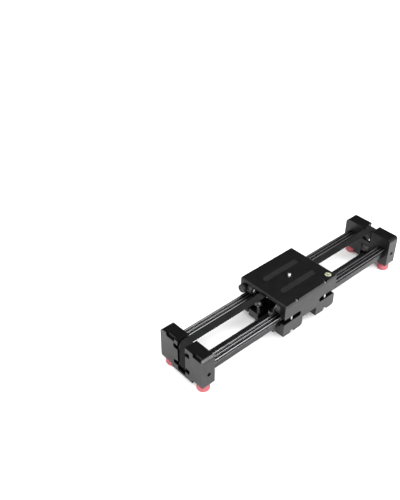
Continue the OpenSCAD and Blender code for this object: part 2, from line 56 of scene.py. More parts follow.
BODY_OF = {n: b for b, nodes in RECORD["behaviour"]["bodies"].items() for n in nodes}
SLOT_OF = {part["node"]: part["material_slot"] for part in RECORD["subparts"]}
NODES = list(BODY_OF)
SIDES = [a + "_" + b for a in ("near", "far") for b in ("left", "right")]

ALONG_X, ALONG_Y, ALONG_Z = (1, 0, 0), (0, 1, 0), (0, 0, 1)
EDGE_GAP = 0.05  # mm by which a turned piece stays inside the node that it replaces
MERGE_DISTANCE = 2e-6
FLAT_ANGLE = 0.4
BEVEL_ANGLE = 35.0
SMOOTH_ANGLE = 32.0


# ---- Measures that come from the frame ----

def centre(node):
    """Middle of a node's box."""
    low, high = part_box(node)
    return (low + high) / 2


def extent(node):
    """Size of a node's box along X, Y and Z."""
    low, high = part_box(node)
    return high - low


# ---- Materials ----

def grey(value):
    """A neutral grey with a trace of blue."""
    return (value, value, value * 1.02)


def new_material(name, base, roughness, metallic=0.0, specular=0.5):
    """A Principled material with its tree, ready for more nodes."""
    material = bpy.data.materials.new(name)
    material.use_nodes = True
    shader = material.node_tree.nodes["Principled BSDF"]
    shader.inputs["Base Color"].default_value = (*base, 1)
    shader.inputs["Roughness"].default_value = roughness
    shader.inputs["Metallic"].default_value = metallic
    shader.inputs["Specular IOR Level"].default_value = specular
    return material, shader


def add(tree, kind, **values):
    """A node whose named inputs take the values; names starting with p_ are its own settings."""
    made = tree.nodes.new(kind)
    for key, value in values.items():
        if key.startswith("p_"):
            setattr(made, key[2:], value)
        else:
            made.inputs[key.replace("_", " ")].default_value = value
    return made


def place(tree):
    """Object-space coordinates, the same from every side and in every pose."""
    return add(tree, "ShaderNodeTexCoord").outputs["Object"]


def noise(tree, scale, detail, stretch=None):
    """Noise in object space; stretch squeezes it along axes, as brushing does."""
    made = add(tree, "ShaderNodeTexNoise", Scale=scale, Detail=detail)
    source = place(tree)
    if stretch:
        mapping = add(tree, "ShaderNodeMapping", Scale=stretch)
        tree.links.new(source, mapping.inputs["Vector"])
        source = mapping.outputs["Vector"]
    tree.links.new(source, made.inputs["Vector"])
    return made.outputs["Fac"]


def ramp(tree, source, low, high, start=0.35, end=0.65):
    """Maps a grey source to a range of values or colours."""
    made = tree.nodes.new("ShaderNodeValToRGB")
    for element, position, value in zip(made.color_ramp.elements, (start, end), (low, high)):
        colour = value if isinstance(value, tuple) else (value,) * 3
        element.position = position
        element.color = (*colour, 1)
    tree.links.new(source, made.inputs["Fac"])
    return made.outputs["Color"]


def bump(tree, shader, height, strength, distance):
    """Lets a grey height disturb the shader's normal."""
    made = add(tree, "ShaderNodeBump", Strength=strength, Distance=distance)
    tree.links.new(height, made.inputs["Height"])
    tree.links.new(made.outputs["Normal"], shader.inputs["Normal"])


def anodised(name, dark, light, rough_low, rough_high, grain=0.12):
    """Bead-blasted black anodised aluminium: a fine even grain with faint cloudy tone."""
    material, shader = new_material(name, light, rough_low, metallic=1.0)
    tree = material.node_tree
    cloud = ramp(tree, noise(tree, 60.0, 5.0), dark, light, 0.3, 0.7)
    tree.links.new(cloud, shader.inputs["Base Color"])
    fine = noise(tree, 1900.0, 2.0)
    tree.links.new(ramp(tree, fine, rough_low, rough_high), shader.inputs["Roughness"])
    bump(tree, shader, fine, grain, 0.00008)
    return material


def painted_highlight_edges(tree):
    """Mask of the painted highlight: 1 on rounded edges that run along X and face upwards, 0 on the flat
    faces beside them.
    """
    split = tree.nodes.new("ShaderNodeSeparateXYZ")
    tree.links.new(add(tree, "ShaderNodeTexCoord").outputs["Normal"], split.inputs["Vector"])
    across = add(tree, "ShaderNodeMath", p_operation="ABSOLUTE")
    tree.links.new(split.outputs["Y"], across.inputs[0])
    both = add(tree, "ShaderNodeMath", p_operation="MULTIPLY")
    tree.links.new(across.outputs[0], both.inputs[0])
    tree.links.new(split.outputs["Z"], both.inputs[1])
    return ramp(tree, both.outputs[0], 0.0, 1.0, 0.12, 0.3)


def extruded(name, dark, light, rough_low, rough_high, edge, edge_rough=0.37):
    """Anodised extrusion: faint die lines run along X, and its upper edges get a lighter base colour, a
    painted highlight.
    """
    material, shader = new_material(name, light, rough_low, metallic=1.0)
    tree = material.node_tree
    lines = noise(tree, 700.0, 2.0, stretch=(0.003, 1.0, 1.0))
    cloud = ramp(tree, lines, dark, light, 0.3, 0.7)
    highlight_mask = painted_highlight_edges(tree)
    roughness = ramp(tree, lines, rough_low, rough_high)
    # The edge colour on the upward-facing edges is a painted highlight, chosen by which way the faces look.
    for source, on_highlight, target in ((cloud, edge, "Base Color"), (roughness, grey(edge_rough), "Roughness")):
        mix = tree.nodes.new("ShaderNodeMixRGB")
        mix.inputs["Color2"].default_value = (*on_highlight, 1)
        tree.links.new(highlight_mask, mix.inputs["Fac"])
        tree.links.new(source, mix.inputs["Color1"])
        tree.links.new(mix.outputs["Color"], shader.inputs[target])
    bump(tree, shader, lines, 0.03, 0.00004)
    return material


def steel(name, dark, light, rough_low, rough_high, scale=400.0):
    """Plated or turned steel with fine tool marks."""
    material, shader = new_material(name, light, rough_low, metallic=1.0)
    tree = material.node_tree
    marks = noise(tree, scale, 4.0)
    tree.links.new(ramp(tree, marks, dark, light, 0.3, 0.7), shader.inputs["Base Color"])
    tree.links.new(ramp(tree, marks, rough_low, rough_high), shader.inputs["Roughness"])
    bump(tree, shader, marks, 0.1, 0.00005)
    return material


def rubber(name, dark, light, roughness, grain=0.25, scale=900.0, specular=0.35):
    """Matte rubber or polyurethane with a fine moulded grain and dusty tone."""
    material, shader = new_material(name, light, roughness, specular=specular)
    tree = material.node_tree
    dust = ramp(tree, noise(tree, 60.0, 5.0), dark, light, 0.3, 0.7)
    tree.links.new(dust, shader.inputs["Base Color"])
    fine = noise(tree, scale, 3.0)
    tree.links.new(ramp(tree, fine, roughness - 0.07, roughness + 0.07), shader.inputs["Roughness"])
    bump(tree, shader, fine, grain, 0.00012)
    return material


def silicone(name, dark, light):
    """Tinted silicone rubber that lets some light through."""
    material, shader = new_material(name, light, 0.38)
    tree = material.node_tree
    tone = ramp(tree, noise(tree, 80.0, 4.0), dark, light, 0.3, 0.7)
    tree.links.new(tone, shader.inputs["Base Color"])
    shader.inputs["Subsurface Weight"].default_value = 0.2
    shader.inputs["Subsurface Radius"].default_value = (0.006, 0.002, 0.002)
    shader.inputs["Subsurface Scale"].default_value = 1.0
    fine = noise(tree, 800.0, 3.0)
    tree.links.new(ramp(tree, fine, 0.32, 0.46), shader.inputs["Roughness"])
    bump(tree, shader, fine, 0.15, 0.0001)
    return material


def liquid(name):
    """Pale yellow-green spirit of the bubble level, seen against its pale cup."""
    deep, pale = (0.69, 0.72, 0.55), (0.79, 0.81, 0.66)
    material, shader = new_material(name, deep, 0.08)
    tree = material.node_tree
    tone = ramp(tree, noise(tree, 120.0, 2.0), deep, pale, 0.3, 0.7)
    tree.links.new(tone, shader.inputs["Base Color"])
    shader.inputs["Subsurface Weight"].default_value = 0.3
    shader.inputs["Subsurface Radius"].default_value = (0.003, 0.003, 0.002)
    shader.inputs["Subsurface Scale"].default_value = 1.0
    return material


def clear(name):
    """Clear moulded window with slight surface ripple."""
    material, shader = new_material(name, (0.97, 0.99, 0.92), 0.04)
    tree = material.node_tree
    ripple = noise(tree, 150.0, 2.0)
    tree.links.new(ramp(tree, ripple, 0.02, 0.07), shader.inputs["Roughness"])
    shader.inputs["Transmission Weight"].default_value = 1.0
    shader.inputs["IOR"].default_value = 1.45
    bump(tree, shader, ripple, 0.03, 0.0001)
    return material


MATERIALS = {
    "anodised_body": anodised("anodised_body", grey(0.036), grey(0.044), 0.28, 0.38),
    # grey(0.18) is the lighter base colour of the painted highlight on the rails' upper edges.
    "rail_metal": extruded("rail_metal", grey(0.023), grey(0.03), 0.22, 0.28, grey(0.18)),
    "plate_metal": anodised("plate_metal", grey(0.027), grey(0.036), 0.4, 0.48),
    "tripod_metal": anodised("tripod_metal", grey(0.075), grey(0.09), 0.30, 0.42),
    "belt_rubber": rubber("belt_rubber", grey(0.009), grey(0.014), 0.78, 0.3, 1400.0, 0.03),
    "idler_metal": steel("idler_metal", grey(0.05), grey(0.07), 0.3, 0.4),
    "dark_steel": steel("dark_steel", grey(0.05), grey(0.08), 0.28, 0.42),
    "foot_rubber": silicone("foot_rubber", (0.30, 0.05, 0.068), (0.38, 0.08, 0.096)),
    "bright_steel": steel("bright_steel", grey(0.24), grey(0.34), 0.16, 0.26),
    "grip_rubber": rubber("grip_rubber", grey(0.007), grey(0.011), 0.62, specular=0.17),
    "level_metal": steel("level_metal", (0.5, 0.51, 0.42), (0.6, 0.61, 0.5), 0.3, 0.4),
    "level_liquid": liquid("level_liquid"),
    "level_window": clear("level_window"),
    "bearing_steel": steel("bearing_steel", grey(0.10), grey(0.13), 0.22, 0.3, 500.0),
    "wheel_rubber": rubber("wheel_rubber", grey(0.01), grey(0.018), 0.4, 0.12, 700.0, 0.5),
    "knob_plastic": rubber("knob_plastic", grey(0.009), grey(0.015), 0.5, 0.2, 800.0, 0.3),
}
MARKING = rubber("marking", (0.06, 0.065, 0.04), (0.09, 0.095, 0.06), 0.5, 0.05)
BUBBLE = steel("bubble_air", (0.8, 0.82, 0.7), (0.9, 0.92, 0.8), 0.15, 0.25)


# ---- Making pieces ----

def finish_piece(piece, body, slot, nodes=(), material=None):
    """Gives a new piece its material, the slot's one unless another is given, puts it on its body and hides
    the nodes it stands for.
    """
    piece.data.materials.clear()
    piece.data.materials.append(material or MATERIALS[slot])
    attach(piece, body)
    if nodes:
        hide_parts(*nodes)
    return piece


def from_mesh(name, mesh):
    """Puts a mesh in the scene as an object."""
    piece = bpy.data.objects.new(name, mesh)
    bpy.context.scene.collection.objects.link(piece)
    return piece


def from_bmesh(name, made, smooth_angle=None):
    """Makes an object of an edited mesh, smooth below the angle in degrees if one is given."""
    mesh = bpy.data.meshes.new(name)
    made.to_mesh(mesh)
    made.free()
    piece = from_mesh(name, mesh)
    if smooth_angle is not None:
        soften(mesh, smooth_angle)
        weigh_normals(piece)
    return piece


def weigh_normals(piece):
    """Lets the large flat faces set the shading, so that only the small rounded ones look round."""
    modifier = piece.modifiers.new("normals", "WEIGHTED_NORMAL")
    modifier.mode = "FACE_AREA"
    modifier.weight = 100
    modifier.keep_sharp = True
    apply_modifiers(piece)


def soften(mesh, angle):
    """Smooth shading, except over edges sharper than the angle in degrees."""
    mesh.polygons.foreach_set("use_smooth", [True] * len(mesh.polygons))
    limit = math.radians(angle)
    made = bmesh.new()
    made.from_mesh(mesh)
    for edge in made.edges:
        edge.smooth = len(edge.link_faces) == 2 and edge.calc_face_angle(0.0) < limit
    made.to_mesh(mesh)
    made.free()


def bevelled(node, width):
    """A copy of a CAD node with clean faces and edges rounded by width mm, which replaces the node."""
    made = bmesh.new()
    made.from_mesh(frame["nodes"][node].data)
    bmesh.ops.remove_doubles(made, verts=made.verts, dist=MERGE_DISTANCE)
    bmesh.ops.dissolve_limit(made, angle_limit=math.radians(FLAT_ANGLE), verts=made.verts, edges=made.edges)
    bmesh.ops.recalc_face_normals(made, faces=made.faces)
    piece = from_bmesh(node + "_piece", made)
    modifier = piece.modifiers.new("edges", "BEVEL")
    modifier.width = width * MM
    modifier.segments = 2
    modifier.limit_method = "ANGLE"
    modifier.angle_limit = math.radians(BEVEL_ANGLE)
    apply_modifiers(piece)
    soften(piece.data, SMOOTH_ANGLE)
    weigh_normals(piece)
    return finish_piece(piece, BODY_OF[node], SLOT_OF[node], [node])


def apply_modifiers(piece):
    """Gives a piece the mesh that its modifiers make, and removes them."""
    graph = bpy.context.evaluated_depsgraph_get()
    mesh = bpy.data.meshes.new_from_object(piece.evaluated_get(graph))
    old = piece.data
    piece.modifiers.clear()
    piece.data = mesh
    mesh.name = piece.name
    bpy.data.meshes.remove(old)


def basis(axis):
    """Turns +Z to the given axis."""
    return Vector(axis).to_track_quat("Z", "Y").to_matrix().to_4x4()


def lathe(name, origin, axis, profile, steps=96, ripple=None):
    """Turns a profile of (radius, height) points in mm round an axis; closed where radius is 0.
    ripple(radius, height, angle) gives the radius in mm at that angle, for knurls and scallops."""
    made = bmesh.new()
    rings = []
    for radius, height in profile:
        if radius == 0:
            rings.append([made.verts.new((0, 0, height * MM))])
            continue
        ring = []
        for step in range(steps):
            angle = 2 * math.pi * step / steps
            real = MM * (ripple(radius, height, angle) if ripple else radius)
            ring.append(made.verts.new((real * math.cos(angle), real * math.sin(angle), height * MM)))
        rings.append(ring)
    closing = [rings[0]] if profile[0][0] and profile[-1][0] else []
    for a, b in zip(rings, rings[1:] + closing):
        for step in range(steps):
            corners = [a[step % len(a)], a[(step + 1) % len(a)], b[(step + 1) % len(b)], b[step % len(b)]]
            unique = list(dict.fromkeys(corners))
            if len(unique) > 2:
                made.faces.new(unique)
    bmesh.ops.recalc_face_normals(made, faces=made.faces)
    made.transform(Matrix.Translation(origin) @ basis(axis))
    return from_bmesh(name, made, SMOOTH_ANGLE)


def rounded(points, radius, steps=3):
    """Rounds the inner points of an open profile with short arcs of about the given radius."""
    out = [points[0]]
    for before, here, after in zip(points, points[1:], points[2:]):
        p, q, r = (Vector(v) for v in (before, here, after))
        back, ahead = p - q, r - q
        reach = min(radius, back.length * 0.45, ahead.length * 0.45)
        start, end = q + back.normalized() * reach, q + ahead.normalized() * reach
        for step in range(steps + 1):
            t = step / steps
            point = start * (1 - t) ** 2 + q * 2 * t * (1 - t) + end * t ** 2
            out.append((point.x, point.y))
    out.append(points[-1])
    return out


def threaded_rod(name, origin, axis, radius, pitch, length, tip=0.6, steps=32):
    """A rod with a real helical thread, all measures in mm, its ends tapered by tip mm."""
    depth = pitch * 0.5
    rows_per_turn = 8
    rows = round(length / pitch * rows_per_turn)
    made = bmesh.new()
    rings = []
    for row in range(rows + 1):
        height = length * row / rows
        ring = []
        for step in range(steps):
            phase = (height / pitch - step / steps) % 1.0
            cut = depth * abs(2 * phase - 1)
            taper = max(0.0, tip - height, height - (length - tip))
            real = (radius - max(cut, taper)) * MM
            angle = 2 * math.pi * step / steps
            ring.append(made.verts.new((real * math.cos(angle), real * math.sin(angle), height * MM)))
        rings.append(ring)
    for a, b in zip(rings, rings[1:]):
        for step in range(steps):
            after = (step + 1) % steps
            made.faces.new([a[step], a[after], b[after], b[step]])
    made.faces.new(list(reversed(rings[0])))
    made.faces.new(rings[-1])
    made.transform(Matrix.Translation(origin) @ basis(axis))
    return from_bmesh(name, made, 50.0)


def join(name, pieces):
    """Makes one piece of several."""
    made = bmesh.new()
    for piece in pieces:
        made.from_mesh(piece.data)
        mesh = piece.data
        bpy.data.objects.remove(piece)
        bpy.data.meshes.remove(mesh)
    joined = from_bmesh(name, made)
    weigh_normals(joined)
    return joined


# ---- Metal parts: CAD copies with rounded edges ----

BEVELS = {
    "left_end_block": 0.5, "right_end_block": 0.5,
    "camera_plate": 0.5,
    "near_side_block": 0.5, "far_side_block": 0.5,
    "camera_belt_clamp": 0.4, "tripod_plate": 0.5, "tripod_belt_clamp": 0.4,
    "idler_axles": 0.3, "rail_set_screws": 0.2,
    "plate_screws": 0.3, "wheel_bolts": 0.4, "guide_bolts": 0.35, "guide_spacers": 0.3,
    "camera_clamp_screws": 0.25, "tripod_clamp_screws": 0.25, "tripod_insert": 0.25,
    "roller_pins": 0.25, "level_cup": 0.15,
}

for bevelled_node, bevel_width in BEVELS.items():
    bevelled(bevelled_node, bevel_width)


# ---- Rails ----

def rounded_outline(corners, steps=4):
    """A closed outline from (y, z, radius) corners, each one rounded by an arc of that radius."""
    points = []
    count = len(corners)
    for index in range(count):
        y, z, radius = corners[index]
        here = Vector((y, z))
        back = Vector(corners[index - 1][:2]) - here
        ahead = Vector(corners[(index + 1) % count][:2]) - here
        back.normalize()
        ahead.normalize()
        middle = here + (back + ahead) * radius
        for step in range(steps + 1):
            angle = math.pi / 2 * step / steps
            points.append(middle - ahead * radius * math.cos(angle) - back * radius * math.sin(angle))
    return points


def rail(node, side):
    """The extruded rail: two lands and a rib on top, a guide groove inside and a slot outside.
    Its outer face looks towards -Y where side is -1 and towards +Y where it is 1. A corner of the
    outline is (distance from the inner face, height, rounding) in mm."""
    low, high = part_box(node)
    width = (high.y - low.y) / MM
    height = (high.z - low.z) / MM
    land, channel, rib, rib_drop = 3.4, 3.0, 1.8, 0.6
    inner_low, inner_high, inner_depth = 4.2, 13.6, 2.0
    outer_low, outer_high, outer_depth = 11.9, 16.5, 1.8
    rib_low, rib_high = (width - rib) / 2, (width + rib) / 2
    corners = [
        (0, 0, 0.8), (width, 0, 0.8),
        (width, outer_low, 0.3), (width - outer_depth, outer_low, 0.2),
        (width - outer_depth, outer_high, 0.2), (width, outer_high, 0.35),
        (width, height, 1.2), (width - land, height, 1.0),
        (width - land, height - channel, 0.3), (rib_high, height - channel, 0.3),
        (rib_high, height - rib_drop, 0.85), (rib_low, height - rib_drop, 0.85),
        (rib_low, height - channel, 0.3), (land, height - channel, 0.3),
        (land, height, 1.0), (0, height, 1.2),
        (0, inner_high, 0.4), (inner_depth, inner_high, 0.3),
        (inner_depth, inner_low, 0.3), (0, inner_low, 0.4)]
    outline = rounded_outline(corners)
    made = bmesh.new()
    rings = []
    for x in (low.x, high.x):
        ring = []
        for point in outline:
            y = low.y + point.x * MM if side > 0 else high.y - point.x * MM
            ring.append(made.verts.new((x, y, low.z + point.y * MM)))
        rings.append(ring)
    for step in range(len(outline)):
        after = (step + 1) % len(outline)
        made.faces.new([rings[0][step], rings[0][after], rings[1][after], rings[1][step]])
    made.faces.new(rings[0])
    made.faces.new(list(reversed(rings[1])))
    bmesh.ops.recalc_face_normals(made, faces=made.faces)
    piece = from_bmesh(node + "_piece", made, 40.0)
    return finish_piece(piece, "frame", "rail_metal", [node])


rail("near_rail", -1)
rail("far_rail", 1)


# ---- Toothed belt ----

def belt():
    """A closed loop in the belt's CAD box: flat outside, moulded teeth inside, soft edges."""
    low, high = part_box("drive_belt")
    half_width = (high.y - low.y) / 2
    bend = 12.8 * MM
    thickness = 1.5 * MM
    tooth_height = 0.65 * MM
    tooth_pitch = 5.0 * MM
    middle_x, middle_z = (low.x + high.x) / 2, (low.z + high.z) / 2
    run_x = (high.x - low.x) / 2 - bend
    run_z = (high.z - low.z) / 2 - bend
    quarter = math.pi / 2
    lengths = [2 * run_x, quarter * bend, 2 * run_z, quarter * bend] * 2
    total = sum(lengths)
    teeth = round(total / tooth_pitch)

    def at(distance):
        """Point on the outer face and its outward normal at a distance round the loop."""
        corner_x, corner_z, turned = -run_x, run_z, 0.0
        for index, length in enumerate(lengths):
            heading = Vector((math.cos(turned), -math.sin(turned)))
            outward = Vector((math.sin(turned), math.cos(turned)))
            if distance <= length or index == len(lengths) - 1:
                if index % 2 == 0:
                    return Vector((corner_x, corner_z)) + outward * bend + heading * distance, outward
                angle = turned + distance / bend
                outward = Vector((math.sin(angle), math.cos(angle)))
                return Vector((corner_x, corner_z)) + outward * bend, outward
            distance -= length
            if index % 2 == 0:
                corner_x += heading.x * length
                corner_z += heading.y * length
            else:
                turned += quarter

    made = bmesh.new()
    edge = 0.3 * MM
    shoulder = half_width - edge
    tooth_shape = [(0.0, 0.0), (0.28, 0.0), (0.38, 1.0), (0.82, 1.0), (0.92, 0.0)]
    rings = []
    for tooth in range(teeth):
        for part, raised in tooth_shape:
            point, outward = at(total * (tooth + part) / teeth)
            depth = thickness - tooth_height * (1 - raised)
            ring = []
            for y, inward in ((-shoulder, 0), (shoulder, 0), (half_width, edge), (half_width, depth - edge),
                              (shoulder, depth), (-shoulder, depth), (-half_width, depth - edge),
                              (-half_width, edge)):
                spot = point - outward * inward
                ring.append(made.verts.new((middle_x + spot.x, y, middle_z + spot.y)))
            rings.append(ring)
    for a, b in zip(rings, rings[1:] + rings[:1]):
        for corner in range(len(a)):
            after = (corner + 1) % len(a)
            made.faces.new([a[corner], a[after], b[after], b[corner]])
    bmesh.ops.recalc_face_normals(made, faces=made.faces)
    piece = from_bmesh("toothed_belt", made, 30.0)
    return finish_piece(piece, "frame", "belt_rubber", ["drive_belt"])


belt()


# ---- Idlers ----

def idler(body):
    """A crowned drum with two thin flanges, dished sides and a bearing ring."""
    middle = centre(body)
    half = extent(body).y / 2 / MM
    flange_r = extent(body).z / 2 / MM
    drum_r = flange_r - 1.5
    bore_r, hub_r, rim_r = 3.1, 5.6, 9.4
    dish, flange, crown = 0.7, 1.0, 0.3
    profile = rounded([
        (bore_r, -half), (hub_r, -half), (hub_r + 0.3, dish - half), (rim_r - 0.4, dish - half),
        (rim_r, -half), (flange_r, -half), (flange_r, flange - half), (drum_r - crown, flange - half + 0.1),
        (drum_r, 0), (drum_r - crown, half - flange - 0.1), (flange_r, half - flange), (flange_r, half),
        (rim_r, half), (rim_r - 0.4, half - dish), (hub_r + 0.3, half - dish), (hub_r, half),
        (bore_r, half)], 0.25)
    piece = lathe(body + "_drum", middle, ALONG_Y, profile, 72)
    return finish_piece(piece, body, "idler_metal", [body])


for idler_body in [n for n in NODES if n.endswith("_idler")]:
    idler(idler_body)


# ---- Feet ----

def foot(side):
    """A turned silicone pad with two grooves and a soft lower edge, on a stud with a lock nut."""
    pad, stud = side + "_foot", side + "_foot_stud"
    middle = centre(pad)
    low = Vector((middle.x, middle.y, 0))
    radius = extent(pad).x / 2 / MM
    height = extent(pad).z / MM
    hollow_r, hollow = 6.0, 0.7
    groove_r = radius - 0.5
    outline = [(0, hollow), (hollow_r, hollow), (hollow_r + 0.6, 0.0), (radius - 1.6, 0.0), (radius, 2.0)]
    for groove in (3.8, 6.6):
        outline += [(radius, groove), (groove_r, groove + 0.4), (groove_r, groove + 1.0),
                    (radius, groove + 1.4)]
    outline += [(radius, height - 3.2), (radius - 1.5, height - 0.4), (radius - 2.4, height),
                (7.2, height), (3.2, height), (0, height)]
    piece = lathe(pad + "_pad", low, ALONG_Z, rounded(outline, 0.5), 96)
    finish_piece(piece, pad, "foot_rubber", [pad])
    stud_low, stud_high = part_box(stud)
    stud_r, pitch = 3.0, 1.0
    nut_r, nut_height, knurls, knurl_depth = 6.5, 3.15, 30, 0.25
    nut_low = height + EDGE_GAP
    nut_high = nut_low + nut_height

    def knurl(r, _height, angle):
        cut = knurl_depth if r > nut_r - 0.3 else 0.0
        return r - cut * (0.5 + 0.5 * math.cos(knurls * angle))

    nut = lathe(stud + "_nut", low, ALONG_Z, rounded([
        (stud_r - 0.1, nut_low), (nut_r - 0.2, nut_low), (nut_r, nut_low + 0.5), (nut_r, nut_high - 0.6),
        (nut_r - 0.5, nut_high), (stud_r - 0.1, nut_high)], 0.2), 90, knurl)
    rod = threaded_rod(stud + "_rod", Vector((middle.x, middle.y, stud_low.z)), ALONG_Z, stud_r, pitch,
                       (stud_high.z - stud_low.z) / MM)
    piece = join(stud + "_steel", [nut, rod])
    finish_piece(piece, pad, "bright_steel", [stud])


for foot_side in SIDES:
    foot(foot_side)


# ---- Wheels ----

def wheel(body, axis, crown, bearing_r, bore):
    """An outer ring or tyre with rounded shoulders, round a shielded ball bearing. The tyre swells
    by crown mm towards its middle; bearing_r and bore are the bearing's outer and inner radius."""
    middle = centre(body)
    size = extent(body)
    half = (size.y if axis[1] else size.z) / 2 / MM
    radius = size.x / 2 / MM
    shoulder = 0.9
    tyre = lathe(body + "_tyre", middle, axis, rounded([
        (bearing_r, -half + 0.4), (bearing_r + 0.6, -half), (radius - shoulder, -half),
        (radius - crown, -half + shoulder), (radius, 0), (radius - crown, half - shoulder),
        (radius - shoulder, half), (bearing_r + 0.6, half), (bearing_r, half - 0.4)], 0.4), 96)
    finish_piece(tyre, body, SLOT_OF[body], [body])
    bore_r = bore + 0.06
    inner = bore + (bearing_r - bore) * 0.35
    outer = bore + (bearing_r - bore) * 0.75
    face = half - 0.35
    shield = face - 0.3
    ring = lathe(body + "_bearing", middle, axis, rounded([
        (bore_r, -face), (inner, -face), (inner + 0.1, -shield), (outer - 0.1, -shield),
        (outer, -face), (bearing_r, -face), (bearing_r, face), (outer, face),
        (outer - 0.1, shield), (inner + 0.1, shield), (inner, face), (bore_r, face)], 0.12), 72)
    finish_piece(ring, body, "dark_steel")


for wheel_side in SIDES:
    wheel(wheel_side + "_wheel", ALONG_Y, crown=0.25, bearing_r=6.0, bore=3.0)
    wheel(wheel_side + "_roller", ALONG_Y, crown=0.15, bearing_r=3.6, bore=1.5)
    wheel(wheel_side + "_guide_wheel", ALONG_Z, crown=0.2, bearing_r=9.6, bore=2.5)


# ---- Stud, screws and knob ----

def camera_stud():
    """A 1/4 inch stud with a real thread above the plate and a plain collar in it."""
    low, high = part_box("camera_stud")
    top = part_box("camera_plate")[1].z
    middle = centre("camera_stud")
    mount = next(m for m in RECORD["mounts"] if m["name"] == "camera_stud")
    radius = mount["dims"]["r_mm"]
    pitch = 1.27
    head_r = extent("camera_stud").x / 2 / MM - EDGE_GAP
    socket_r, head_height = 1.9, 2.4
    collar_r, neck_r, neck = radius + 0.6, radius - 0.65, 0.7
    collar_top = (top - low.z) / MM
    neck_top = collar_top + neck + 0.2
    head = lathe("stud_head", Vector((middle.x, middle.y, low.z)), ALONG_Z, rounded([
        (0, head_height), (socket_r, head_height), (socket_r, 0.0), (head_r, 0.0), (head_r, head_height),
        (collar_r, head_height), (collar_r, collar_top - EDGE_GAP), (neck_r, collar_top - EDGE_GAP),
        (neck_r, neck_top), (0, neck_top)], 0.2), 72)
    rod = threaded_rod("stud_thread", Vector((middle.x, middle.y, top + neck * MM)), ALONG_Z, radius,
                       pitch, (high.z - top) / MM - neck, 0.8, 48)
    piece = join("camera_stud_steel", [head, rod])
    return finish_piece(piece, "camera_carriage", "bright_steel", ["camera_stud"])


def preload_screws():
    """Four M4 set screws, threaded over their whole length."""
    low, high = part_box("preload_screws")
    radius, pitch, length = 2.0, 0.7, (high.z - low.z) / MM
    rods = []
    for x in (low.x + radius * MM, high.x - radius * MM):
        for y in (low.y + radius * MM, high.y - radius * MM):
            rods.append(threaded_rod("preload", Vector((x, y, low.z)), ALONG_Z, radius - 0.02, pitch,
                                     length, 0.5, 24))
    piece = join("preload_screw_rods", rods)
    return finish_piece(piece, "camera_carriage", "bright_steel", ["preload_screws"])


def lock_knob():
    """A scalloped knob with a dished face, on its screw."""
    middle = centre("lock_knob")
    back = Vector((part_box("lock_knob")[1].x, middle.y, middle.z))
    radius = extent("lock_knob").z / 2 / MM
    length = extent("lock_knob").x / MM
    lobes, lobe_depth, dish = 14, 0.55, 0.5

    def scallop(r, _height, angle):
        share = max(0.0, min(1.0, (r - radius + 2.2) / 2.0))
        return r - share * lobe_depth * (0.5 - 0.5 * math.cos(lobes * angle)) ** 1.5

    profile = rounded([
        (0, 0), (3.4, 0), (radius - 1.4, 0), (radius, 0.9), (radius, length - 1.2),
        (radius - 1.2, length), (radius - 2.6, length), (radius - 3.0, length - dish),
        (0, length - dish)], 0.4)
    piece = lathe("lock_knob_grip", back, (-1, 0, 0), profile, 168, scallop)
    finish_piece(piece, "lock_knob", "knob_plastic", ["lock_knob"])
    screw_r, pitch = 2.43, 0.8
    screw_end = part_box("lock_screw")[1].x
    rod = threaded_rod("lock_screw_rod", back, ALONG_X, screw_r, pitch, (screw_end - back.x) / MM)
    finish_piece(rod, "lock_knob", "bright_steel", ["lock_screw"])


camera_stud()
preload_screws()
lock_knob()


# ---- Grip strips ----

def grip_strip(node):
    """A rubber strip with a raised rim and fine cross ribs between round ends."""
    low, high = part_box(node)
    half_width = (high.y - low.y) / 2
    run = (high.x - low.x) / 2 - half_width
    middle = (low + high) / 2
    rim_inset = 0.9 * MM
    rim_round = 0.25 * MM
    floor_drop = 0.35 * MM
    made = bmesh.new()
    steps = 20

    def outline(inset, z):
        """A ring of points round the strip, inset from its edge."""
        ring = []
        for end in (1, -1):
            for step in range(steps + 1):
                angle = math.pi * (step / steps - 0.5) + (0 if end > 0 else math.pi)
                x = end * run + (half_width - inset) * math.cos(angle)
                y = (half_width - inset) * math.sin(angle)
                ring.append(made.verts.new((middle.x + x, middle.y + y, z)))
        return ring

    rings = [outline(0, low.z), outline(0, high.z - rim_round), outline(rim_round, high.z),
             outline(rim_inset, high.z), outline(rim_inset + 0.15 * MM, high.z - floor_drop)]
    for a, b in zip(rings, rings[1:]):
        for step in range(len(a)):
            after = (step + 1) % len(a)
            made.faces.new([a[step], a[after], b[after], b[step]])
    made.faces.new(list(reversed(rings[0])))
    made.faces.new(rings[-1])
    rib_half = 0.45 * MM
    rib_pitch = 2.0 * MM
    reach = half_width - rim_inset - 0.4 * MM
    foot_z = high.z - floor_drop - EDGE_GAP * MM
    crest_z = high.z - EDGE_GAP * MM
    corners = [(-rib_half, -reach), (rib_half, -reach), (rib_half, reach), (-rib_half, reach)]
    ribs = round(2 * run / rib_pitch)
    for rib in range(ribs + 1):
        x = middle.x - run + 2 * run * rib / ribs
        lower = [made.verts.new((x + cx, middle.y + cy, foot_z)) for cx, cy in corners]
        upper = [made.verts.new((x + cx * 0.5, middle.y + cy * 0.99, crest_z)) for cx, cy in corners]
        made.faces.new(upper)
        made.faces.new(list(reversed(lower)))
        for step in range(4):
            after = (step + 1) % 4
            made.faces.new([lower[step], lower[after], upper[after], upper[step]])
    bmesh.ops.recalc_face_normals(made, faces=made.faces)
    piece = from_bmesh(node + "_rubber", made, 30.0)
    return finish_piece(piece, BODY_OF[node], "grip_rubber", [node])


grip_strip("near_grip_strip")
grip_strip("far_grip_strip")


# ---- Bubble level ----

